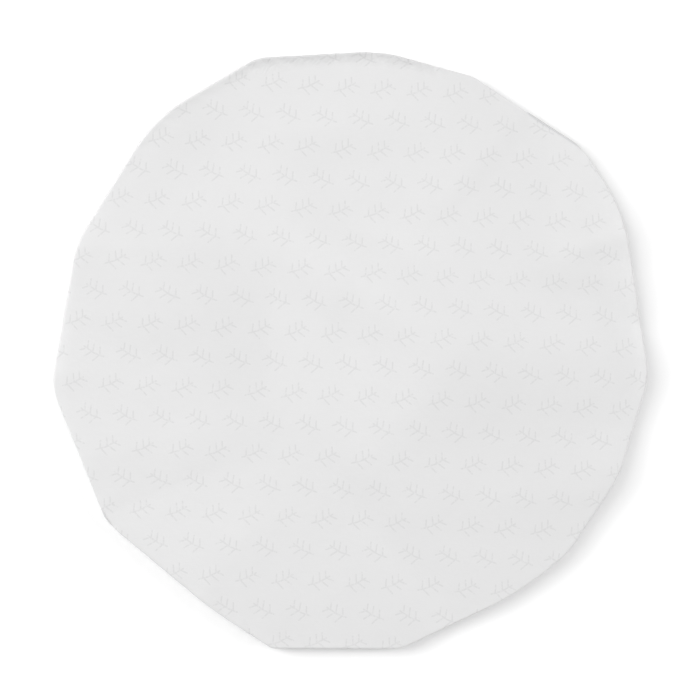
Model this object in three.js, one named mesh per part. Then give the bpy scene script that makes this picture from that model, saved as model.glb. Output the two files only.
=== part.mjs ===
// A shower cap lying flat on a table with its crown up, as it comes out of its packet.
//
// The cap is one disc of coated cloth. Its middle is the flat crown, whose outline is a polygon with soft corners,
// because the cloth was pressed flat and folded along straight lines from corner to corner. The cloth rolls over that
// rim, returns underneath towards the middle, and is gathered there in pleats onto an elastic casing round the head
// opening. The hollow between the two layers is open through that casing, downwards.
//
// Units are millimetres. +Z is up, z = 0 is the table, and the origin is the middle of the head opening on the table,
// which is also the middle of the outline, to a quarter of a millimetre.

import * as THREE from "three";

// ---- Driving sizes -------------------------------------------------------------------------------------------------

const WALL = 1.0; // the cloth with its coating
const CROWN_Z = 15.0; // the crown's upper face, before its swells and creases
const CROWN_FALL = 5.0; // how much lower the crown is where the rim begins to roll
const ROLL_OVER = 3.4; // how far in from the outline the upper roll of the rim begins
const ROLL_UNDER = 5.0; // how far in the lower roll ends
const RIM_Z = 5.2; // the height of the outermost line of the rim, at the middle of a side
const CORNER_RISE = 0.6; // how much higher that line is at a corner
const UNDER_RIM_Z = 1.5; // the lower face of the cloth where the lower roll ends
const UNDER_Z = 0.8; // the lower face of the cloth in the valleys of the gathers
const GATHER_TOP_Z = 4.5; // the lower face of the cloth on the tops of the gathers, at the casing
const GATHER_R = 88.8; // where the gathered cloth meets the casing

const CASING_R_IN = 77.0; // the head opening with the elastic relaxed
const CASING_R_OUT = 87.8;
const CASING_H = 6.2;
const CASING_EDGE = 1.3; // the rounding of the casing's edges
const CASING_RUFFLE = 0.5; // how far its gathers stand out

const COLUMNS_PER_SIDE = 6; // two pleats to a side, three columns to a pleat

// ---- Tables --------------------------------------------------------------------------------------------------------

// The corners of the outline, going round from +X: the direction, the distance of the corner of the straight-sided
// polygon, and the length of each side that its rounding takes.
const CORNERS = [
  { angle: -5.3, radius: 151.1, soft: 8.7 },
  { angle: 26.8, radius: 154.1, soft: 17.6 },
  { angle: 40.7, radius: 154.9, soft: 8.2 },
  { angle: 65.9, radius: 151.0, soft: 3.0 },
  { angle: 84.2, radius: 151.4, soft: 12.0 },
  { angle: 107.6, radius: 154.8, soft: 8.7 },
  { angle: 130.3, radius: 152.1, soft: 20.5 },
  { angle: 158.9, radius: 147.8, soft: 16.7 },
  { angle: 187.1, radius: 151.5, soft: 9.9 },
  { angle: 215.4, radius: 150.7, soft: 9.2 },
  { angle: 242.1, radius: 149.0, soft: 15.2 },
  { angle: 255.4, radius: 155.4, soft: 2.0 },
  { angle: 279.7, radius: 152.7, soft: 4.0 },
  { angle: 303.1, radius: 148.4, soft: 16.5 },
  { angle: 316.3, radius: 150.4, soft: 12.2 },
  { angle: 334.7, radius: 149.4, soft: 7.8 },
];

// The creases of the crown, from (x0, y0) to where each has died out at (x1, y1). lift is the height of a ridge, or the
// depth of a valley where it is negative; left and right are how far its slopes reach on each side of that direction. One
// that starts well inside the rim also fades in there.
const CREASES = [
  { name: "left corner ridge", x0: -141, y0: 52, x1: -46, y1: 50, lift: 5, left: 64, right: 75 },
  { name: "middle left valley", x0: -40, y0: 42, x1: -39, y1: -41, lift: -2.3, left: 35, right: 37 },
  { name: "valley above the middle", x0: -20, y0: 69, x1: 51, y1: 50, lift: -2.3, left: 26, right: 16 },
  { name: "upper ridge", x0: -42, y0: 106, x1: 46, y1: 113, lift: 1.6, left: 20, right: 25 },
  { name: "upper right valley", x0: 99, y0: 110, x1: 108, y1: 41, lift: -3, left: 47, right: 45 },
  { name: "right corner ridge", x0: 137, y0: 58, x1: 91, y1: 45, lift: 0.6, left: 16, right: 13 },
  { name: "right corner valley", x0: 133, y0: 17, x1: 87, y1: 38, lift: -2.1, left: 16, right: 18 },
  { name: "far right ridge", x0: 150, y0: -3, x1: 36, y1: 2, lift: 1.2, left: 42, right: 44 },
  { name: "slanting ridge", x0: 66, y0: 8, x1: -15, y1: -87, lift: 3.9, left: 64, right: 64 },
  { name: "left valley", x0: -142, y0: 10, x1: -75, y1: -12, lift: -1.4, left: 36, right: 24 },
  { name: "lower left valley", x0: -124, y0: -83, x1: -29, y1: -48, lift: -1.7, left: 30, right: 46 },
  { name: "lower left ridge", x0: -69, y0: -117, x1: -36, y1: -76, lift: 1.1, left: 34, right: 50 },
  { name: "bottom ridge", x0: 135, y0: -68, x1: 2, y1: -81, lift: 1.3, left: 26, right: 39 },
];

// The soft swells of the crown between the creases: how far each reaches along its direction and across it.
const SWELLS = [
  { name: "top dip", x: -58, y: 98, along: 75, across: 27, turned: -3, height: -3 },
  { name: "middle", x: 8, y: 29, along: 75, across: 18, turned: -26, height: 3 },
  { name: "lower left", x: -83, y: -68, along: 42, across: 21, turned: 67, height: 0.8 },
  { name: "right dip", x: 118, y: -46, along: 24, across: 47, turned: -25, height: -0.6 },
  { name: "bottom dip", x: 12, y: -96, along: 69, across: 16, turned: -49, height: -2.1 },
  { name: "left", x: -87, y: 13, along: 75, across: 27, turned: 3, height: 2.2 },
  { name: "below the middle", x: 51, y: -6, along: 75, across: 25, turned: -37, height: 2.9 },
  { name: "upper left", x: -110, y: 99, along: 75, across: 24, turned: 50, height: 3 },
];

// The lines of the cloth from the middle of the crown outwards: share is the share of the way to where the rim rolls.
const CROWN_LINES = [{ share: 0.24 }, { share: 0.46 }, { share: 0.66 }, { share: 0.83 }, { share: 1.0 }];

// The lines of the rim: turn is the turn of the roll in degrees, from level on top through upright to level below.
const RIM_LINES = [{ turn: 38 }, { turn: 66 }, { turn: 90 }, { turn: 118 }, { turn: 148 }, { turn: 180 }];

// The lines of the underlayer: share of the way in from the rim to the casing, and how far the gathers have risen.
const UNDER_LINES = [
  { share: 0.16, gather: 0.02 },
  { share: 0.36, gather: 0.16 },
  { share: 0.58, gather: 0.42 },
  { share: 0.8, gather: 0.74 },
  { share: 1.0, gather: 1.0 },
];

// One pleat of the gathers, a column at a time: the valley, the crest, and the slope where it folds over.
const PLEAT = [{ rise: 0.0 }, { rise: 1.0 }, { rise: 0.38 }];

// ---- The outline ---------------------------------------------------------------------------------------------------

const radians = THREE.MathUtils.degToRad;
const polar = (degrees, r) => new THREE.Vector2(Math.cos(radians(degrees)) * r, Math.sin(radians(degrees)) * r);
const wrap = (i, n) => ((i % n) + n) % n;

// A corner with its rounding: where it leaves the side before it, its middle, and where it joins the side after it.
function roundedCorner(i) {
  const n = CORNERS.length;
  const tip = (k) => polar(CORNERS[wrap(k, n)].angle, CORNERS[wrap(k, n)].radius);
  const p = tip(i);
  const along = (q) => {
    const d = q.clone().sub(p);
    return p.clone().add(d.setLength(Math.min(CORNERS[wrap(i, n)].soft, 0.48 * d.length())));
  };
  const from = along(tip(i - 1));
  const to = along(tip(i + 1));
  const middle = new THREE.QuadraticBezierCurve(from, p, to).getPoint(0.5);
  return { from, middle, to };
}

// The columns of the cloth, going round: a point of the outline, how near a corner it is, and where the same threads
// meet the casing.
function makeColumns() {
  const columns = [];
  const n = CORNERS.length;
  for (let i = 0; i < n; i++) {
    const here = roundedCorner(i);
    const next = roundedCorner(i + 1);
    const a0 = CORNERS[i].angle;
    const a1 = CORNERS[wrap(i + 1, n)].angle + (i + 1 === n ? 360 : 0);
    for (let k = 0; k < COLUMNS_PER_SIDE; k++) {
      const rim = k === 0 ? here.middle : here.to.clone().lerp(next.from, (k - 1) / (COLUMNS_PER_SIDE - 2));
      const corner = k === 0 ? 1 : k === 1 || k === COLUMNS_PER_SIDE - 1 ? 0.6 : 0;
      columns.push({ rim, corner, inner: a0 + ((a1 - a0) * k) / COLUMNS_PER_SIDE });
    }
  }
  return columns;
}

// ---- The crown's upper face ----------------------------------------------------------------------------------------

// A crease is sharp along its line, and dies out across its width and towards its inner end.
function creaseAt(c, x, y) {
  const smooth = THREE.MathUtils.smoothstep;
  const dx = c.x1 - c.x0;
  const dy = c.y1 - c.y0;
  const length = Math.hypot(dx, dy);
  const t = ((x - c.x0) * dx + (y - c.y0) * dy) / length ** 2;
  const side = ((y - c.y0) * dx - (x - c.x0) * dy) / length;
  const off = t > 1 ? Math.hypot(x - c.x1, y - c.y1) : Math.abs(side);
  const reach = (side > 0 ? c.left : c.right) * (0.55 + 0.45 * THREE.MathUtils.clamp(1 - t, 0, 1));
  const slope = Math.max(0, 1 - off / reach);
  const starts = Math.hypot(c.x0, c.y0) < 118 ? smooth(t, -0.3, 0.3) : 1;
  return c.lift * slope ** 1.5 * ((3 - slope) / 2) * (1 - smooth(t, 0.3, 1.05)) * starts;
}

function swellAt(s, x, y) {
  const c = Math.cos(radians(s.turned));
  const q = Math.sin(radians(s.turned));
  const u = (x - s.x) * c + (y - s.y) * q;
  const v = (y - s.y) * c - (x - s.x) * q;
  return s.height * Math.exp(-((u / s.along) ** 2) - (v / s.across) ** 2);
}

// reach is the share of the way from the middle to the rim's roll.
function crownZ(x, y, reach) {
  let z = CROWN_Z - CROWN_FALL * reach ** 3;
  for (const c of CREASES) z += creaseAt(c, x, y);
  for (const s of SWELLS) z += swellAt(s, x, y);
  return z;
}

// ---- The cloth -----------------------------------------------------------------------------------------------------

// The outer face of the cloth down one column, from the first line round the middle to the casing.
function columnPoints(column, j) {
  const out = [];
  const r = column.rim.length();
  const dir = column.rim.clone().divideScalar(r);
  const at = (radius, z) => new THREE.Vector3(dir.x * radius, dir.y * radius, z);
  for (const line of CROWN_LINES) {
    const radius = (r - ROLL_OVER) * line.share;
    out.push(at(radius, crownZ(dir.x * radius, dir.y * radius, line.share)));
  }
  const rollTop = out[out.length - 1].z;
  const rimZ = RIM_Z + CORNER_RISE * column.corner;
  for (const line of RIM_LINES) {
    const turn = radians(line.turn);
    const above = line.turn < 90;
    const width = above ? ROLL_OVER : ROLL_UNDER;
    const height = above ? rollTop - rimZ : rimZ - UNDER_RIM_Z;
    out.push(at(r - width + width * Math.sin(turn), rimZ + height * Math.cos(turn)));
  }
  const start = dir.clone().multiplyScalar(r - ROLL_UNDER);
  const end = polar(column.inner, GATHER_R);
  const rise = PLEAT[j % PLEAT.length].rise * (0.86 + 0.14 * Math.cos(2.4 * j));
  for (const line of UNDER_LINES) {
    const p = start.clone().lerp(end, line.share);
    const base = THREE.MathUtils.lerp(UNDER_RIM_Z, UNDER_Z, Math.min(1, line.share / 0.36));
    out.push(new THREE.Vector3(p.x, p.y, base + (GATHER_TOP_Z - UNDER_Z) * line.gather * rise));
  }
  return out;
}

// The normals of a face given as columns of points, from the points on each side of each.
function gridNormals(grid) {
  const n = grid.length;
  return grid.map((column, j) =>
    column.map((p, k) => {
      const round = grid[wrap(j + 1, n)][k].clone().sub(grid[wrap(j - 1, n)][k]);
      const before = k > 0 ? column[k - 1] : p;
      const after = k < column.length - 1 ? column[k + 1] : p;
      return after.clone().sub(before).cross(round).normalize();
    }),
  );
}

// The closed body between two faces that share their columns, each with a pole in the middle, joined at their last line.
function clothBody(outer, outerPole, inner, innerPole) {
  const n = outer.length;
  const m = outer[0].length;
  const position = [];
  const put = (p) => position.push(p.x, p.y, p.z) / 3 - 1;
  const ids = [outer, inner].map((grid) => grid.map((column) => column.map(put)));
  const poles = [outerPole, innerPole].map(put);
  const index = [];
  for (let j = 0; j < n; j++) {
    const next = wrap(j + 1, n);
    ids.forEach((id, face) => {
      const tri = (a, b, c) => (face ? index.push(a, c, b) : index.push(a, b, c));
      tri(poles[face], id[j][0], id[next][0]);
      for (let k = 0; k + 1 < m; k++) {
        tri(id[j][k], id[j][k + 1], id[next][k + 1]);
        tri(id[j][k], id[next][k + 1], id[next][k]);
      }
    });
    const [out, inn] = ids;
    index.push(out[j][m - 1], inn[j][m - 1], inn[next][m - 1]);
    index.push(out[j][m - 1], inn[next][m - 1], out[next][m - 1]);
  }
  const geometry = new THREE.BufferGeometry();
  geometry.setAttribute("position", new THREE.Float32BufferAttribute(position, 3));
  geometry.setIndex(index);
  geometry.computeVertexNormals();
  return geometry;
}

function crownGeometry(columns) {
  const outer = columns.map(columnPoints);
  const normals = gridNormals(outer);
  const inner = outer.map((column, j) => column.map((p, k) => p.clone().addScaledVector(normals[j][k], -WALL)));
  const pole = new THREE.Vector3(0, 0, crownZ(0, 0, 0));
  return clothBody(outer, pole, inner, pole.clone().setZ(pole.z - WALL));
}

// ---- The casing ----------------------------------------------------------------------------------------------------

// The section of the casing, going round it; lies marks the two points that rest on the table and so never ruffle.
const CASING_SECTION = [
  { r: CASING_R_IN + CASING_EDGE, z: 0, lies: true },
  { r: CASING_R_OUT - CASING_EDGE, z: 0, lies: true },
  { r: CASING_R_OUT, z: CASING_EDGE, lies: false },
  { r: CASING_R_OUT, z: CASING_H - CASING_EDGE, lies: false },
  { r: CASING_R_OUT - CASING_EDGE, z: CASING_H, lies: false },
  { r: CASING_R_IN + CASING_EDGE, z: CASING_H, lies: false },
  { r: CASING_R_IN, z: CASING_H - CASING_EDGE, lies: false },
  { r: CASING_R_IN, z: CASING_EDGE, lies: false },
];

function casingGeometry(columns) {
  const n = columns.length;
  const m = CASING_SECTION.length;
  const middle = (CASING_R_IN + CASING_R_OUT) / 2;
  const position = [];
  const index = [];
  columns.forEach((column, j) => {
    const ruffle = CASING_RUFFLE * (PLEAT[j % PLEAT.length].rise - 0.5);
    for (const s of CASING_SECTION) {
      const inwards = Math.sign(middle - s.r);
      const p = polar(column.inner, s.r + (s.lies ? 0 : inwards * Math.abs(ruffle)));
      position.push(p.x, p.y, s.z + (s.lies || s.z < CASING_H ? 0 : ruffle));
    }
    for (let k = 0; k < m; k++) {
      const a = j * m + k;
      const b = j * m + wrap(k + 1, m);
      const c = wrap(j + 1, n) * m + k;
      const d = wrap(j + 1, n) * m + wrap(k + 1, m);
      index.push(a, d, b, a, c, d);
    }
  });
  const geometry = new THREE.BufferGeometry();
  geometry.setAttribute("position", new THREE.Float32BufferAttribute(position, 3));
  geometry.setIndex(index);
  geometry.computeVertexNormals();
  return geometry;
}

// ---- The cap -------------------------------------------------------------------------------------------------------

const cloth = new THREE.MeshStandardMaterial({ name: "crown_cloth", color: 0xe6e6e7, roughness: 0.72, metalness: 0 });
const casingCloth = new THREE.MeshStandardMaterial({ name: "casing_cloth", color: 0xe3e3e4, roughness: 0.8, metalness: 0 });

const columns = makeColumns();

const crown = new THREE.Mesh(crownGeometry(columns), cloth);
crown.name = "crown";

const elasticHem = new THREE.Mesh(casingGeometry(columns), casingCloth);
elasticHem.name = "elastic_hem";

const cap = new THREE.Group();
cap.name = "shower_cap";
cap.add(crown, elasticHem);

export default cap;
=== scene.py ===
# A shower cap lying flat on a table with its crown up.
#
# The cloth is one disc: the flat crown, the roll over its rim, and the underlayer that is gathered onto the hem. It is
# worked out here ring by ring, in millimetres, from tables of corners, creases and gathers, and made as one thin closed
# body with an outer and an inner face. The hem's casing is ruched over its elastic and sewn on with a row of stitches.

import math

import bpy
import numpy as np
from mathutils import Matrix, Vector


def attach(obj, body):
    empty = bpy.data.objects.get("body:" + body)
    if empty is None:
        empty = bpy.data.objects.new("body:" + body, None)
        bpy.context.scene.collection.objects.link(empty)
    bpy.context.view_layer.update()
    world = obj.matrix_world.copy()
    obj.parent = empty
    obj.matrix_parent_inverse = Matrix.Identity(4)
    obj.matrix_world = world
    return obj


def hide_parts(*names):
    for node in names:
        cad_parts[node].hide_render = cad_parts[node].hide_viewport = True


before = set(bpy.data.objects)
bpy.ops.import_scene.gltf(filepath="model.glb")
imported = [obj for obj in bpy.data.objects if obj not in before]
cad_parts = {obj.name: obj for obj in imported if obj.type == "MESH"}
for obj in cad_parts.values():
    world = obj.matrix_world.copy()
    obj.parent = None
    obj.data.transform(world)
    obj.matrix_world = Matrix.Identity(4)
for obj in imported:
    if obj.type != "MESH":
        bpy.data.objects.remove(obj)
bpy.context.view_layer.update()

MM = 0.001
TAU = 2 * math.pi

# ---- Sizes, in millimetres -----------------------------------------------------------------------------------------

CLOTH_THICK = 0.42
CROWN_Z = 12.4  # the crown's upper face, before its swells and creases
CROWN_FALL = 4.8  # how much lower it is where the rim begins to roll
ROLL_UNDER = 5.0  # the width of the lower half of the rim's roll
RIM_Z = 4.8  # the outermost line of the rim
CORNER_RISE = 0.7
UNDER_RIM_Z = 1.3  # the outer face below, where the roll ends
UNDER_GAP = 1.9  # how far below the crown's face the gathers stay

SEAM_R = 87.4  # where the gathers are sewn to the casing
CASING_R_IN = 77.3
CASING_MID_Z = 3.1
CASING_HALF = 2.45  # half its height over the elastic
GATHERS = 78  # main gathers round the opening

COLUMNS = 1280  # threads followed round the cap at the hem; fewer further in

# The corners of the outline: direction in degrees, distance, and the length of each side that the rounding takes.
CORNERS = [
    (-5.3, 151.1, 8.7),
    (26.8, 154.1, 17.6),
    (40.7, 154.9, 8.2),
    (65.9, 150.6, 3.0),
    (84.2, 150.9, 12.0),
    (107.7, 153.9, 5.5),
    (130.3, 152.5, 20.5),
    (158.9, 147.4, 9.0),
    (187.1, 151.5, 9.9),
    (215.4, 150.2, 9.2),
    (242.1, 148.3, 15.2),
    (255.4, 155.4, 2.0),
    (279.7, 152.7, 4.0),
    (303.1, 148.4, 16.5),
    (316.3, 150.4, 12.2),
    (334.7, 149.4, 7.8),
]

# The creases of the crown, from (x0, y0) to where each has died out at (x1, y1). lift is the height of a ridge, or the
# depth of a valley where it is negative; left and right are how far its slopes reach on each side of that direction,
# and soft is how rounded its line is. One that starts well inside the rim also fades in there.
CREASES = [
    # x0, y0, x1, y1, lift, left, right, soft
    (-141, 51, -48, 51, 5.0, 63, 75, 2.4),  # the left corner's ridge
    (-40, 44, -40, -42, -2.4, 36, 38, 2.2),  # the valley at its inner end
    (-20, 70, 54, 48, -2.6, 24, 15, 2.6),  # the valley above the middle
    (-43, 106, 47, 114, 1.4, 19, 24, 2.7),  # the upper ridge
    (73, 104, 31, 57, 0.5, 10, 22, 1.5),  # the upper right ridge
    (97, 110, 109, 37, -3.3, 47, 46, 3.8),  # the valley beside it
    (137, 59, 91, 46, 0.5, 15, 13, 0.4),  # the right corner's ridge
    (137, 57, 103, 47, 0.6, 13, 8, 0.3),  # the short sharp fold along it
    (133, 17, 85, 38, -2.3, 14, 18, 0.5),  # the valley below it
    (150, -4, 34, 3, 1.5, 42, 45, 1.3),  # the far right ridge
    (147, -36, 85, -48, -0.5, 25, 23, 1.5),  # the end of its dark side
    (65, 9, -17, -87, 4.0, 64, 64, 4.8),  # the ridge that turns down from it
    (-142, 11, -76, -11, -1.3, 36, 23, 2.3),  # the left side's valley
    (-127, -61, -54, -44, 0.2, 28, 24, 1.8),  # the left side's lower ridge
    (-124, -83, -28, -47, -1.8, 30, 48, 1.5),  # the lower left corner's valley
    (-69, -117, -37, -76, 1.1, 35, 50, 2.0),  # the lower left ridge
    (136, -68, 4, -82, 1.4, 26, 39, 2.5),  # the bottom ridge
]

# The soft swells between the creases: middle, how far each reaches along and across, its direction, and its height.
SWELLS = [
    # x, y, along, across, degrees, height
    (-58, 96, 75, 27, -4, -3.0),
    (15, 27, 75, 18, -26, 3.0),
    (-82, -68, 42, 22, 66, 0.9),
    (118, -46, 17, 48, -37, -0.5),
    (7, -88, 75, 14, -51, -2.6),
    (-84, 13, 75, 27, 4, 2.2),
    (58, -9, 75, 25, -39, 3.0),
    (-109, 99, 75, 23, 50, 3.0),
    (131, 31, 48, 9, -75, -1.1),
]

# The rim, going round: direction in degrees, the width of the upper half of its roll, and how far the crown falls over
# its last stretch before the roll, or rises to a lip where that is negative.
RIM = [
    # direction, width, fall
    (-12, 0.9, -0.1),
    (-4, 0.7, -0.8),
    (12, 0.5, -1.2),
    (24, 0.4, -1.2),
    (38, 0.6, -0.3),
    (62, 1.5, 0.2),
    (70, 0.9, -0.3),
    (78, 0.45, -2.2),
    (106, 0.45, -2.4),
    (114, 0.8, -1.0),
    (130, 1.1, -0.6),
    (142, 1.2, -0.3),
    (152, 1.3, 0.1),
    (176, 1.2, 0.5),
    (200, 1.2, 0.6),
    (225, 1.1, 0.2),
    (252, 0.65, -0.3),
    (282, 0.5, -0.1),
    (312, 0.4, -0.15),
    (336, 0.7, 0.05),
]
RIM_WIDTH = 4.6

# Where the gathers below pull the rim into small puckers: from one direction to another, in degrees, and how deep.
PUCKERS = [
    (72, 112, 1.0),
    (114, 146, 0.3),
    (236, 286, 0.25),
    (286, 330, 0.12),
    (30, 68, 0.12),
]

rng = np.random.default_rng(41)


def smoothstep(a, b, x):
    t = np.clip((x - a) / (b - a), 0, 1)
    return t * t * (3 - 2 * t)


def wander(theta, waves, seed):
    """A smooth periodic function of direction, with mean 0 and a swing of about 1."""
    r = np.random.default_rng(seed)
    total = np.zeros_like(theta)
    for w in waves:
        total = total + r.uniform(0.6, 1.0) * np.sin(w * theta + r.uniform(0, TAU))
    return total / math.sqrt(len(waves) / 1.3)


# ---- The outline ---------------------------------------------------------------------------------------------------


def outline_points(steps=24):
    tips = [(math.cos(math.radians(a)) * r, math.sin(math.radians(a)) * r) for a, r, _ in CORNERS]
    tips = np.array(tips)
    out = []
    for i, (_, _, soft) in enumerate(CORNERS):
        p, before, after = tips[i], tips[i - 1], tips[(i + 1) % len(tips)]
        la, lb = np.linalg.norm(before - p), np.linalg.norm(after - p)
        s = min(soft, 0.48 * la, 0.48 * lb)
        a, b = p + (before - p) / la * s, p + (after - p) / lb * s
        t = np.linspace(0, 1, steps)[:, None]
        out.append((1 - t) ** 2 * a + 2 * t * (1 - t) * p + t * t * b)
    return np.vstack(out)


def outline_radius(theta):
    p = outline_points()
    n = len(p)
    a = np.arctan2(p[:, 1], p[:, 0])
    # Points along the straight sides too, so that the distance is right between the corners.
    fine = np.vstack([p[i] + (p[(i + 1) % n] - p[i]) * t for i in range(n) for t in np.linspace(0, 1, 12, endpoint=False)[:, None]])
    a = np.unwrap(np.arctan2(fine[:, 1], fine[:, 0]))
    r = np.hypot(fine[:, 0], fine[:, 1])
    a = np.concatenate([a - TAU, a, a + TAU])
    r = np.concatenate([r, r, r])
    order = np.argsort(a)
    return np.interp(theta, a[order], r[order])


def near_corner(theta):
    """1 at a corner of the outline and 0 in the middle of a side."""
    near = np.zeros_like(theta)
    for a, _, _ in CORNERS:
        d = np.abs((theta - math.radians(a) + math.pi) % TAU - math.pi)
        near = np.maximum(near, 1 - smoothstep(0, math.radians(7), d))
    return near


# ---- The crown's upper face ----------------------------------------------------------------------------------------


def crease_height(x, y, row):
    x0, y0, x1, y1, lift, left, right, soft = row
    dx, dy = x1 - x0, y1 - y0
    length = math.hypot(dx, dy)
    t = ((x - x0) * dx + (y - y0) * dy) / length**2
    side = ((x - x0) * -dy + (y - y0) * dx) / length
    past = np.hypot(x - x1, y - y1)
    off = np.where(t > 1, past, np.abs(side))
    reach = np.where(side > 0, left, right) * (0.55 + 0.45 * np.clip(1 - t, 0, 1))
    off = np.sqrt(off**2 + soft**2) - soft
    slope = np.clip(1 - off / reach, 0, 1)
    fade = 1 - smoothstep(0.3, 1.05, t)
    if math.hypot(x0, y0) < 118:
        fade = fade * smoothstep(-0.3, 0.3, t)
    return lift * slope**1.5 * (3 - slope) / 2 * fade


def swell_height(x, y, row):
    cx, cy, along, across, degrees, height = row
    c, s = math.cos(math.radians(degrees)), math.sin(math.radians(degrees))
    u, v = (x - cx) * c + (y - cy) * s, -(x - cx) * s + (y - cy) * c
    return height * np.exp(-((u / along) ** 2) - (v / across) ** 2)


ripples = [(rng.uniform(0, TAU), rng.uniform(0, TAU), w) for w in (26, 31, 38, 44, 52, 60, 71, 85) for _ in range(2)]


def small_ripples(x, y):
    z = np.zeros_like(x)
    for direction, phase, wave in ripples:
        z += wave * np.sin(TAU / wave * (x * math.cos(direction) + y * math.sin(direction)) + phase)
    return z * 0.00042


def crown_height(x, y, share, theta):
    z = CROWN_Z - CROWN_FALL * share**3
    fall = np.interp(np.degrees(theta), [r[0] for r in RIM], [r[2] for r in RIM], period=360)
    z = z - fall * np.clip(1 - (1 - share) * 148 / RIM_WIDTH, 0, 1) ** 1.4
    for row in CREASES:
        z = z + crease_height(x, y, row)
    for row in SWELLS:
        z = z + swell_height(x, y, row)
    z = z + small_ripples(x, y)
    # Short pulls that run in from the rim, where the cloth turns over it.
    pull = wander(theta, (23, 29, 37, 41, 53), 5) * smoothstep(0.8, 1.0, share) ** 2
    return z + 0.1 * pull


# ---- The gathers ---------------------------------------------------------------------------------------------------


def gather_phase(theta):
    return GATHERS * theta + 2.0 * wander(theta, (3, 5, 8), 11) + 0.9 * wander(theta, (13, 17, 22), 12)


def gather_wave(theta, r):
    """Height of the gathered cloth about its middle, at radius r."""
    phase = gather_phase(theta)
    uneven = 1 + 0.22 * wander(theta, (7, 12, 19, 31), 13)
    rise = smoothstep(147, 96, r)
    near = smoothstep(103, 88, r)
    main = (3.55 * rise * (1 - 0.46 * near)) * uneven
    paired = 1.5 * np.sin(math.pi * np.clip((150 - r) / 50, 0, 1)) * (1 + 0.5 * wander(theta, (4, 9, 15), 14))
    fine = 1.15 * near * (1 + 0.3 * wander(theta, (11, 18, 27), 15))
    twice = 2 * phase + 0.9 * wander(theta, (6, 10, 21), 16)
    half = phase / 2 + 0.8 * wander(theta, (3, 6, 9), 17)
    return main * (np.cos(phase) + 0.14 * np.cos(2 * phase + 0.6)) + paired * np.cos(half) + fine * np.cos(twice)


def soft_floor(z, floor, soft=0.5):
    """z, but never under floor, with a short rounding where it comes down onto it."""
    return floor + 0.5 * ((z - floor) + np.sqrt((z - floor) ** 2 + soft**2))


def under_height(theta, r, edge):
    """The outer face of the underlayer. edge is the radius where the rim's roll ends."""
    share = np.clip((edge - r) / (edge - SEAM_R), 0, 1)
    x, y = r * np.cos(theta), r * np.sin(theta)
    crown = crown_height(x, y, np.clip(r / (edge + ROLL_UNDER - 1.4), 0, 1), theta)
    middle = UNDER_RIM_Z + (4.25 - UNDER_RIM_Z) * smoothstep(0, 0.55, share) - 0.9 * smoothstep(0.75, 1, share)
    z = soft_floor(middle + gather_wave(theta, r) * smoothstep(0, 0.12, share), 0.25)
    return -soft_floor(-z, UNDER_GAP - crown, 1.2)


def gather_lean(theta, r):
    """How far sideways the folds lean for each millimetre of their height."""
    return smoothstep(140, 100, r) * (0.28 + 0.34 * wander(theta, (2, 5, 9, 14), 18))


# ---- The cloth, ring by ring ---------------------------------------------------------------------------------------

TOP_RINGS = [(r, 8) for r in np.linspace(3.2, 38.4, 12)]
TOP_RINGS += [(r, 4) for r in np.linspace(41.4, 89.0, 17)]
TOP_RINGS += [(r, 2) for r in np.linspace(91.9, 138.7, 15)]
TOP_RINGS += [(r, 2) for r in (141.2, 143.2, 144.8, 146.1, 147.2, 148.0)]
ROLL_RINGS = [18, 36, 52, 66, 79, 90, 102, 116, 132, 150]
UNDER_RINGS = [(s, 2) for s in np.linspace(0, 0.66, 15)]
UNDER_RINGS += [(s, 1) for s in np.linspace(0.70, 1.0, 9)]

theta_all = np.arange(COLUMNS) / COLUMNS * TAU
rim_all = outline_radius(theta_all)
corner_all = near_corner(theta_all)


def pucker_depth(theta):
    degrees = np.degrees(theta) % 360
    depth = np.zeros_like(theta)
    for a, b, d in PUCKERS:
        depth = np.maximum(depth, d * smoothstep(a - 4, a + 4, degrees) * (1 - smoothstep(b - 4, b + 4, degrees)))
    return depth


def pucker_wave(theta, inwards=0.0):
    """Narrow pinches with rounder cloth between them. They slant, by a pitch or so, on their way inwards."""
    phase = 3.1 * gather_phase(theta) / 2 + 2.2 * wander(theta, (5, 9, 14, 21), 17) + 3.4 * inwards
    wave = 0.5 + 0.5 * np.cos(phase + 0.7 * np.sin(phase))
    deep = np.clip(0.55 + 0.45 * wander(theta, (31, 43, 57), 19), 0.1, 1.0)
    return ((1 - np.abs(np.sin(phase / 2)) ** 0.5) * 0.8 + 0.2 * wave) * deep


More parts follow.
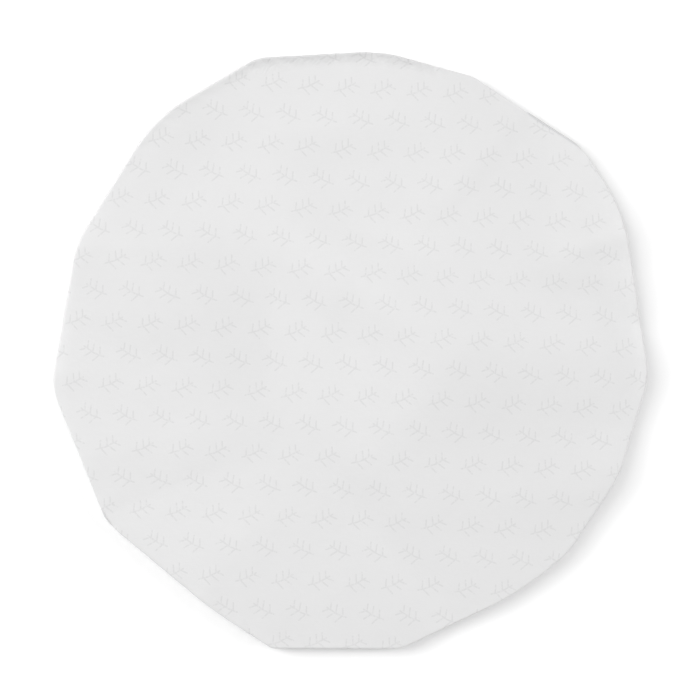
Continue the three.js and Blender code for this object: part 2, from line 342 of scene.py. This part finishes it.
def cloth_rings():
    """Every ring of the outer face, as (columns' stride, x, y, z)."""
    rings = []
    last = TOP_RINGS[-1][0]
    around, width, _ = zip(*RIM)
    over = np.interp(np.degrees(theta_all), around, width, period=360) * (1 - 0.15 * corner_all)
    depth = pucker_depth(theta_all)
    pinch = depth * pucker_wave(theta_all)

    def put(stride, r, z, lean=None):
        th = theta_all[::stride]
        turn = th if lean is None else th + lean
        rings.append((stride, r * np.cos(turn), r * np.sin(turn), z))

    for radius, stride in TOP_RINGS:
        share = radius / last
        th = theta_all[::stride]
        r = (rim_all - over)[::stride] * share
        z = crown_height(r * np.cos(th), r * np.sin(th), share, th)
        inwards = (1 - share) * 148 / RIM_WIDTH
        near = depth[::stride] * pucker_wave(th, inwards) * smoothstep(1.5, 0.0, inwards)
        put(stride, r, z - 2.2 * np.minimum(near, 0.55))
    s = slice(None, None, 2)
    top = rings[-1][3]
    rim_z = (RIM_Z + CORNER_RISE * corner_all + 0.5 * wander(theta_all, (3, 7, 11), 21))[s]
    for turn in ROLL_RINGS:
        a = math.radians(turn)
        squash = 0.92 if turn < 90 else 1.0
        if turn <= 90:
            r = rim_all[s] - over[s] * (1 - math.sin(a) ** squash)
            z = rim_z + (top - rim_z) * math.cos(a)
        else:
            r = rim_all[s] - ROLL_UNDER * (1 - math.sin(a))
            z = rim_z + (rim_z - UNDER_RIM_Z) * math.cos(a)
        bite = pinch[s] * math.sin(a) ** 0.5
        put(2, r - 0.3 * bite, z - 0.5 * bite * math.cos(a))
    for share, stride in UNDER_RINGS:
        s = slice(None, None, stride)
        th = theta_all[s]
        edge = rim_all[s] - ROLL_UNDER
        r = edge + (SEAM_R - 0.5 - edge) * share
        z = under_height(th, r, edge)
        put(stride, r, z, lean=gather_lean(th, r) * (z - 4.0) / r)
    return rings


def ring_faces(a, a_n, b, b_n):
    """Faces between ring a and the next ring b, which has as many columns, half or twice as many."""
    if a_n == b_n:
        i = np.arange(a_n)
        j = (i + 1) % a_n
        return np.stack([a + i, b + i, b + j, a + j], 1).tolist()
    if b_n == 2 * a_n:
        i = np.arange(a_n)
        j = (i + 1) % a_n
        m = 2 * i + 1
        e = (2 * i + 2) % b_n
        f = [np.stack(t, 1) for t in ((a + i, b + 2 * i, b + m), (a + i, b + m, a + j), (a + j, b + m, b + e))]
        return np.vstack(f).tolist()
    raise ValueError("rings don't match")


def face_normals_to_vertices(verts, faces):
    tri = []
    for f in faces:
        tri.append((f[0], f[1], f[2]))
        if len(f) == 4:
            tri.append((f[0], f[2], f[3]))
    tri = np.array(tri)
    n = np.cross(verts[tri[:, 1]] - verts[tri[:, 0]], verts[tri[:, 2]] - verts[tri[:, 0]])
    out = np.zeros_like(verts)
    for k in range(3):
        np.add.at(out, tri[:, k], n)
    return out / np.maximum(np.linalg.norm(out, axis=1, keepdims=True), 1e-12)


def new_object(name, verts, faces, materials, slots=None, smooth=True):
    me = bpy.data.meshes.new(name)
    me.from_pydata((np.asarray(verts) * MM).tolist(), [], faces)
    for m in materials:
        me.materials.append(m)
    if slots is not None:
        me.polygons.foreach_set("material_index", np.asarray(slots, dtype=np.int32))
    me.polygons.foreach_set("use_smooth", np.full(len(me.polygons), smooth))
    me.update()
    ob = bpy.data.objects.new(name, me)
    bpy.context.collection.objects.link(ob)
    return ob


def add_vector(ob, name, values):
    layer = ob.data.attributes.new(name, "FLOAT_VECTOR", "POINT")
    layer.data.foreach_set("vector", np.asarray(values, dtype=np.float32).ravel())


def make_crown(outer_material, inner_material):
    rings = cloth_rings()
    verts = [np.array([[0.0, 0.0, float(crown_height(np.zeros(1), np.zeros(1), 0.0, np.zeros(1))[0])]])]
    starts, counts = [], []
    total = 1
    flat = [np.zeros((1, 3))]
    run = None
    for k, (stride, x, y, z) in enumerate(rings):
        p = np.stack([x, y, z], 1)
        verts.append(p)
        starts.append(total)
        counts.append(len(p))
        total += len(p)
        # How far along its thread each point is from the middle: this is where it lies on the flat disc.
        if run is None:
            run = np.linalg.norm(p - verts[0], axis=1)
        else:
            q = np.stack(rings[k - 1][1:], 1)
            if len(q) != len(p):
                q = np.stack([q, 0.5 * (q + np.roll(q, -1, 0))], 1).reshape(-1, 3)
                run = np.stack([run, 0.5 * (run + np.roll(run, -1))], 1).ravel()
            run = run + np.linalg.norm((p - q), axis=1)
        th = theta_all[::stride]
        flat.append(np.stack([run * np.cos(th), run * np.sin(th), np.zeros_like(th)], 1))
    verts = np.vstack(verts)
    flat = np.vstack(flat)
    faces = []
    n0 = counts[0]
    faces += [[0, 1 + i, 1 + (i + 1) % n0] for i in range(n0)]
    for k in range(len(rings) - 1):
        faces += ring_faces(starts[k], counts[k], starts[k + 1], counts[k + 1])
    normals = face_normals_to_vertices(verts, faces)
    inner = verts - normals * CLOTH_THICK
    n = len(verts)
    last, m = starts[-1], counts[-1]
    i = np.arange(m)
    j = (i + 1) % m
    edge = np.stack([last + i, n + last + i, n + last + j, last + j], 1).tolist()
    both = faces + [[n + v for v in reversed(f)] for f in faces] + edge
    slots = [0] * len(faces) + [1] * len(faces) + [0] * len(edge)
    ob = new_object("crown_cloth", np.vstack([verts, inner]), both, [outer_material, inner_material], slots)
    add_vector(ob, "cloth", np.vstack([flat, flat]) * MM)
    disc_map(ob, np.vstack([flat, flat]), n)
    return ob, float(np.mean(run))


def disc_map(ob, flat, n):
    """A map of the flat disc for each face of the cloth: the outer one large, the inner one small in the corner."""
    reach = np.abs(flat).max() * 1.01
    uv = flat[:, :2] / reach
    uv[:n] = 0.385 + 0.38 * uv[:n]
    uv[n:] = 0.805 + 0.19 * uv[n:]
    me = ob.data
    loops = np.zeros(len(me.loops), dtype=np.int32)
    me.loops.foreach_get("vertex_index", loops)
    layer = me.uv_layers.new(name="OFBake")
    layer.uv.foreach_set("vector", uv[loops].astype(np.float32).ravel())


# ---- The casing and its stitches -----------------------------------------------------------------------------------


def casing_middle(theta, r):
    """The middle of the casing's thickness: the gathered cloth's own wave at the seam, dying down over the elastic."""
    seam = under_height(theta, np.full_like(theta, SEAM_R), outline_radius(theta) - ROLL_UNDER) + CLOTH_THICK / 2
    share = smoothstep(SEAM_R + 0.4, SEAM_R - 4.5, r)
    phase = gather_phase(theta)
    flutter = 0.34 * np.cos(phase) + 0.18 * np.cos(2 * phase + 0.9 * wander(theta, (6, 10, 21), 16))
    return seam * (1 - share) + (CASING_MID_Z + flutter) * share


def casing_half(theta, u):
    """Half the casing's height, u being -1 at the head opening and 1 at the seam."""
    body = np.sqrt(np.clip(1 - u * u, 0, 1))
    plump = body * (1 - 0.55 * smoothstep(0.1, 1.0, u))
    twice = 2 * gather_phase(theta) + 0.9 * wander(theta, (6, 10, 21), 16)
    ruche = 0.17 * np.cos(twice) + 0.10 * np.cos(gather_phase(theta)) + 0.07 * wander(theta, (60, 83, 104), 24)
    return CASING_HALF * plump * (1 + ruche) + 0.12 * body


def casing_point(theta, angle):
    """A point of the casing's outside, angle being its place round the section, 0 at the seam."""
    phase = gather_phase(theta)
    twice = 2 * phase + 0.9 * wander(theta, (6, 10, 21), 16)
    u = math.cos(angle)
    mid_r, half_r = (SEAM_R + CASING_R_IN) / 2, (SEAM_R - CASING_R_IN) / 2
    scallop = (0.42 * np.cos(twice + 0.5) + 0.35 * np.cos(phase + 0.4)) * smoothstep(0.2, -1.0, u)
    r = mid_r + half_r * u + scallop
    z = casing_middle(theta, r) + math.copysign(1, math.sin(angle)) * casing_half(theta, u) * (abs(math.sin(angle)) > 1e-9)
    z = soft_floor(z, 0.02, 0.25)
    turn = theta + 0.10 * np.sin(phase) * (z - CASING_MID_Z) / r
    return r * np.cos(turn), r * np.sin(turn), z


def make_casing(material):
    around = 26
    rows = []
    for k in range(around):
        x, y, z = casing_point(theta_all, TAU * k / around)
        rows.append(np.stack([x, y, z], 1))
    verts = np.stack(rows, 1).reshape(-1, 3)
    i = np.arange(COLUMNS)[:, None]
    k = np.arange(around)[None, :]
    at = lambda a, b: (a % COLUMNS) * around + (b % around)
    faces = np.stack([at(i, k), at(i + 1, k), at(i + 1, k + 1), at(i, k + 1)], -1).reshape(-1, 4).tolist()
    ob = new_object("hem_casing", verts, faces, [material])
    # Its own place on the disc: the casing is the last of the cloth, turned in.
    width = np.abs((np.arange(around) / around * 2) - 1) * 18.0 + 218
    flat = np.stack(
        [width[None, :] * np.cos(theta_all)[:, None], width[None, :] * np.sin(theta_all)[:, None], np.zeros((COLUMNS, around))], -1
    )
    add_vector(ob, "cloth", flat.reshape(-1, 3) * MM)
    return ob


def make_stitches(material):
    """A row of machine stitches along the seam, each a short thread that dips into the cloth at both ends."""
    count, sides, rings = 430, 6, 5
    r = SEAM_R - 1.15
    verts, faces = [], []
    pitch = TAU / count
    for s in range(count):
        a0 = s * pitch + 0.12 * pitch
        along = np.linspace(0, 1, rings)
        th = a0 + along * 0.78 * pitch
        u = (r - (SEAM_R + CASING_R_IN) / 2) / ((SEAM_R - CASING_R_IN) / 2)
        x, y, z = casing_point(th, -math.acos(u))
        bulge = np.sin(math.pi * along)
        centre = np.stack([x, y, z - 0.14 * bulge + 0.10], 1)
        centre[:, 2] = np.maximum(centre[:, 2], 0.17)
        tangent = np.gradient(centre, axis=0)
        tangent /= np.linalg.norm(tangent, axis=1, keepdims=True)
        outward = np.stack([np.cos(th), np.sin(th), np.zeros_like(th)], 1)
        up = np.cross(tangent, outward)
        up /= np.linalg.norm(up, axis=1, keepdims=True)
        thick = 0.16 * (0.55 + 0.45 * bulge)
        base = len(verts)
        for k in range(rings):
            for q in range(sides):
                a = TAU * q / sides
                verts.append(centre[k] + thick[k] * (math.cos(a) * outward[k] + math.sin(a) * up[k]))
        for k in range(rings - 1):
            for q in range(sides):
                n = (q + 1) % sides
                faces.append([base + k * sides + q, base + k * sides + n, base + (k + 1) * sides + n, base + (k + 1) * sides + q])
        faces.append([base + q for q in reversed(range(sides))])
        faces.append([base + (rings - 1) * sides + q for q in range(sides)])
    return new_object("hem_stitches", np.array(verts), faces, [material])


# ---- Materials -----------------------------------------------------------------------------------------------------


class Nodes:
    """Short calls for building one material's node tree."""

    def __init__(self, name):
        self.material = bpy.data.materials.new(name)
        self.material.use_nodes = True
        self.tree = self.material.node_tree
        self.tree.nodes.clear()
        self.out = self.tree.nodes.new("ShaderNodeOutputMaterial")
        self.shader = self.tree.nodes.new("ShaderNodeBsdfPrincipled")
        self.tree.links.new(self.shader.outputs["BSDF"], self.out.inputs["Surface"])

    def feed(self, socket, value):
        if isinstance(value, bpy.types.NodeSocket):
            self.tree.links.new(value, socket)
        elif value is not None:
            socket.default_value = value

    def math(self, operation, a, b=None, c=None, clamp=False):
        node = self.tree.nodes.new("ShaderNodeMath")
        node.operation = operation
        node.use_clamp = clamp
        for socket, value in zip(node.inputs, (a, b, c)):
            self.feed(socket, value)
        return node.outputs[0]

    def vector(self, operation, a, b=None):
        node = self.tree.nodes.new("ShaderNodeVectorMath")
        node.operation = operation
        for socket, value in zip(node.inputs, (a, b)):
            self.feed(socket, value)
        return node.outputs[0]

    def range(self, value, low, high, to_low, to_high, smooth=True):
        node = self.tree.nodes.new("ShaderNodeMapRange")
        node.interpolation_type = "SMOOTHSTEP" if smooth else "LINEAR"
        for socket, v in zip(node.inputs, (value, low, high, to_low, to_high)):
            self.feed(socket, v)
        return node.outputs[0]

    def noise(self, vector, scale, detail=2.0, rough=0.5):
        node = self.tree.nodes.new("ShaderNodeTexNoise")
        self.feed(node.inputs["Vector"], vector)
        node.inputs["Scale"].default_value = scale
        node.inputs["Detail"].default_value = detail
        node.inputs["Roughness"].default_value = rough
        return node.outputs["Fac"]

    def split(self, vector):
        node = self.tree.nodes.new("ShaderNodeSeparateXYZ")
        self.feed(node.inputs[0], vector)
        return node.outputs

    def join(self, x, y, z=0.0):
        node = self.tree.nodes.new("ShaderNodeCombineXYZ")
        for socket, value in zip(node.inputs, (x, y, z)):
            self.feed(socket, value)
        return node.outputs[0]

    def colour(self, factor, a, b):
        node = self.tree.nodes.new("ShaderNodeMix")
        node.data_type = "RGBA"
        self.feed(node.inputs[0], factor)
        self.feed(node.inputs[6], a)
        self.feed(node.inputs[7], b)
        return node.outputs[2]

    def bump(self, height, distance, strength=1.0, normal=None):
        node = self.tree.nodes.new("ShaderNodeBump")
        node.inputs["Strength"].default_value = strength
        node.inputs["Distance"].default_value = distance
        self.feed(node.inputs["Height"], height)
        self.feed(node.inputs["Normal"], normal)
        return node.outputs[0]


def turned(n, degrees):
    """The cloth's own coordinates in millimetres, turned so that its threads run as they do on the crown."""
    attribute = n.tree.nodes.new("ShaderNodeAttribute")
    attribute.attribute_name = "cloth"
    c, s = math.cos(math.radians(degrees)), math.sin(math.radians(degrees))
    xyz = n.split(attribute.outputs["Vector"])
    x = n.math("MULTIPLY", xyz[0], 1000.0)
    y = n.math("MULTIPLY", xyz[1], 1000.0)
    u = n.math("ADD", n.math("MULTIPLY", x, c), n.math("MULTIPLY", y, s))
    v = n.math("SUBTRACT", n.math("MULTIPLY", y, c), n.math("MULTIPLY", x, s))
    return u, v


# The woven figure: a small sprig, a bent stem with three pairs of short leaves, set half a step over in each second row
# and turned the other way there, in millimetres.
FIGURE_STEP = (18.4, 15.6)
FIGURE_LINE = 0.78
SPRIG = [
    # x0, y0, x1, y1
    (-5.4, -2.2, -0.6, -0.7),
    (-0.6, -0.7, 4.8, 2.6),
    (-3.4, -1.6, -3.3, 2.4),
    (-3.0, -1.5, 0.2, -4.6),
    (0.2, -0.3, -0.3, 4.1),
    (0.8, 0.1, 4.4, -2.4),
    (3.0, 1.5, 2.7, 5.2),
    (3.4, 1.8, 6.8, 0.5),
]


def figure(n, u, v):
    """1 on the lines of the woven figure and 0 off them."""
    row = n.math("FLOOR", n.math("DIVIDE", v, FIGURE_STEP[1]))
    odd = n.math("MODULO", n.math("ABSOLUTE", row), 2.0)
    us = n.math("ADD", n.math("DIVIDE", u, FIGURE_STEP[0]), n.math("MULTIPLY", odd, 0.5))
    fu = n.math("MULTIPLY", n.math("SUBTRACT", n.math("FRACT", us), 0.5), FIGURE_STEP[0])
    fv = n.math("MULTIPLY", n.math("SUBTRACT", n.math("FRACT", n.math("DIVIDE", v, FIGURE_STEP[1])), 0.5), FIGURE_STEP[1])
    fu = n.math("MULTIPLY", fu, n.math("SUBTRACT", 1.0, n.math("MULTIPLY", odd, 2.0)))
    near = None
    for x0, y0, x1, y1 in SPRIG:
        dx, dy = x1 - x0, y1 - y0
        px, py = n.math("SUBTRACT", fu, x0), n.math("SUBTRACT", fv, y0)
        along = n.math("ADD", n.math("MULTIPLY", px, dx / (dx * dx + dy * dy)), n.math("MULTIPLY", py, dy / (dx * dx + dy * dy)), clamp=True)
        off_x = n.math("SUBTRACT", px, n.math("MULTIPLY", along, dx))
        off_y = n.math("SUBTRACT", py, n.math("MULTIPLY", along, dy))
        d = n.math("SQRT", n.math("ADD", n.math("MULTIPLY", off_x, off_x), n.math("MULTIPLY", off_y, off_y)))
        near = d if near is None else n.math("MINIMUM", near, d)
    return n.range(near, 0.5 * FIGURE_LINE - 0.15, 0.5 * FIGURE_LINE + 0.15, 1.0, 0.0)


def weave(n, u, v):
    """The height of the threads: fine ribs both ways, with the unevenness of spun yarn."""
    across = n.math("SINE", n.math("MULTIPLY", u, TAU / 0.52))
    down = n.math("SINE", n.math("MULTIPLY", v, TAU / 0.44))
    ribs = n.math("ADD", n.math("MULTIPLY", n.math("MULTIPLY", across, down), 0.5), n.math("MULTIPLY", down, 0.35))
    slubs = n.noise(n.join(n.math("MULTIPLY", u, 0.2), n.math("MULTIPLY", v, 1.35)), 1.0, 3.0, 0.6)
    return n.math("ADD", ribs, n.math("MULTIPLY", slubs, 0.9)), slubs


def rim_pulls(n, u, v):
    """The height of the fine slanting pulls in the cloth along the upper rim, where the gathers hold it tight."""
    run = n.math("SQRT", n.math("ADD", n.math("MULTIPLY", u, u), n.math("MULTIPLY", v, v)))
    around = n.math("ARCTAN2", v, u)
    pulls = n.noise(n.join(n.math("ADD", n.math("MULTIPLY", around, 118.0), n.math("MULTIPLY", run, 0.8)), n.math("MULTIPLY", run, 0.3)), 1.0, 2.0, 0.6)
    near = n.math("MULTIPLY", n.range(run, 143.5, 147.0, 0.0, 1.0), n.range(run, 152.0, 170.0, 1.0, 0.0))
    side = n.range(n.math("ABSOLUTE", n.math("SUBTRACT", around, 1.68)), 0.24, 0.42, 1.0, 0.0)
    return n.math("MULTIPLY", n.math("MULTIPLY", pulls, near), side)


def cloth_material(name, light, dark, roughness, figured=True, crumple=1.0):
    n = Nodes(name)
    u, v = turned(n, -3.0)
    threads, slubs = weave(n, u, v)
    soft = n.noise(n.join(u, v), 0.045, 3.0, 0.55)
    tone = n.math("ADD", n.math("MULTIPLY", n.math("SUBTRACT", slubs, 0.5), 0.55), n.math("MULTIPLY", n.math("SUBTRACT", soft, 0.5), 0.35))
    base = n.colour(n.math("ADD", tone, 0.5, clamp=True), (*[c * 0.945 for c in light], 1), (*light, 1))
    height = n.math("MULTIPLY", threads, 0.5)
    if figured:
        lines = figure(n, u, v)
        picks = n.noise(n.join(n.math("MULTIPLY", u, 0.9), n.math("MULTIPLY", v, 0.7)), 1.0, 1.0, 0.5)
        worn = n.math("MULTIPLY", lines, n.range(picks, 0.34, 0.56, 0.3, 1.0))
        base = n.colour(worn, base, (*dark, 1))
        height = n.math("SUBTRACT", height, n.math("MULTIPLY", lines, 0.8))
        n.feed(n.shader.inputs["Roughness"], n.range(worn, 0.0, 1.0, roughness, roughness + 0.14, smooth=False))
    else:
        n.feed(n.shader.inputs["Roughness"], n.range(slubs, 0.2, 0.8, roughness - 0.04, roughness + 0.05))
    n.feed(n.shader.inputs["Base Color"], base)
    creased = n.noise(n.join(u, v), 0.16, 4.0, 0.55)
    wide = n.bump(creased, 0.00022 * crumple)
    if figured:
        wide = n.bump(rim_pulls(n, u, v), 0.00036, 1.0, wide)
    n.feed(n.shader.inputs["Normal"], n.bump(height, 0.00002, 1.0, wide))
    n.shader.inputs["Specular IOR Level"].default_value = 0.35
    n.shader.inputs["Sheen Weight"].default_value = 0.12
    n.shader.inputs["Sheen Roughness"].default_value = 0.4
    return n.material


def thread_material():
    n = Nodes("hem_thread")
    u, v = turned(n, 0.0)
    place = n.tree.nodes.new("ShaderNodeTexCoord").outputs["Object"]
    twist = n.noise(place, 2600.0, 2.0)
    n.feed(n.shader.inputs["Base Color"], n.colour(twist, (0.68, 0.68, 0.685, 1), (0.8, 0.8, 0.8, 1)))
    n.feed(n.shader.inputs["Roughness"], n.range(twist, 0.2, 0.8, 0.5, 0.65))
    n.feed(n.shader.inputs["Normal"], n.bump(twist, 0.00004))
    return n.material


# ---- The floor, the light and the camera ---------------------------------------------------------------------------


def make_floor():
    n = Nodes("floor")
    place = n.tree.nodes.new("ShaderNodeTexCoord").outputs["Object"]
    n.feed(n.shader.inputs["Base Color"], n.colour(n.noise(place, 3.0), (0.95, 0.95, 0.95, 1), (0.96, 0.96, 0.96, 1)))
    n.shader.inputs["Roughness"].default_value = 0.9
    n.shader.inputs["Specular IOR Level"].default_value = 0.1
    half = 4000.0
    ob = new_object("floor", [(-half, -half, 0), (half, -half, 0), (half, half, 0), (-half, half, 0)], [[0, 1, 2, 3]], [n.material])
    ob.location.z = -0.00002


def area_light(name, place, target, size, power):
    light = bpy.data.lights.new(name, "AREA")
    light.shape = "RECTANGLE"
    light.size, light.size_y = size
    light.energy = power
    ob = bpy.data.objects.new(name, light)
    ob.location = place
    ob.rotation_euler = (Vector(target) - Vector(place)).to_track_quat("-Z", "Y").to_euler()
    bpy.context.collection.objects.link(ob)
    return ob


def make_light():
    world = bpy.data.worlds.new("studio")
    bpy.context.scene.world = world
    world.use_nodes = True
    back = world.node_tree.nodes["Background"]
    back.inputs["Color"].default_value = (1, 1, 1, 1)
    back.inputs["Strength"].default_value = 0.561
    area_light("left_softbox", (-1.9, 0.45, 1.06), (0, 0, 0), (1.1, 0.9), 17.0)
    area_light("right_softbox", (2.6, 0.1, 1.3), (0, 0, 0), (1.2, 1.1), 29.0)
    area_light("overhead", (-0.1, 0.15, 2.4), (0, 0, 0), (1.2, 1.2), 4.4)
    key = bpy.data.lights.new("key", "SUN")
    key.energy = 1.0
    key.angle = math.radians(40)
    ob = bpy.data.objects.new("key", key)
    azimuth, elevation = math.radians(150), math.radians(46)
    towards = Vector((math.cos(azimuth) * math.cos(elevation), math.sin(azimuth) * math.cos(elevation), math.sin(elevation)))
    ob.rotation_euler = towards.to_track_quat("Z", "Y").to_euler()
    bpy.context.collection.objects.link(ob)


CAMERA_HEIGHT = 1.5
FRAME_WIDTH = 0.35239  # what 700 pixels of the photograph cover at the rim's height


def make_camera():
    cam = bpy.data.cameras.new("camera")
    cam.sensor_width = 36
    cam.lens = 36 * (CAMERA_HEIGHT - RIM_Z * MM) / FRAME_WIDTH
    ob = bpy.data.objects.new("camera", cam)
    ob.location = (0, -0.00018, CAMERA_HEIGHT)
    ob.rotation_euler = (0, 0, 0)
    bpy.context.collection.objects.link(ob)
    bpy.context.scene.camera = ob


# ---- The scene -----------------------------------------------------------------------------------------------------

make_camera()
make_light()
make_floor()
bpy.context.scene.view_settings.view_transform = "Standard"
bpy.context.scene.view_settings.look = "None"

outer = cloth_material("crown_cloth", (0.710, 0.709, 0.711), (0.629, 0.628, 0.630), 0.5)
inner = cloth_material("crown_lining_side", (0.68, 0.68, 0.684), (0.64, 0.64, 0.645), 0.6, figured=False)
casing_cloth = cloth_material("casing_cloth", (0.69, 0.69, 0.694), (0.62, 0.62, 0.625), 0.55, figured=False)

crown, flat_radius = make_crown(outer, inner)
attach(crown, "root")
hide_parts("crown")

casing = make_casing(casing_cloth)
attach(casing, "root")
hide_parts("elastic_hem")

stitches = make_stitches(thread_material())
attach(stitches, "root")

print("flat radius mm", round(flat_radius, 1), "crown triangles", sum(len(p.vertices) - 2 for p in crown.data.polygons))
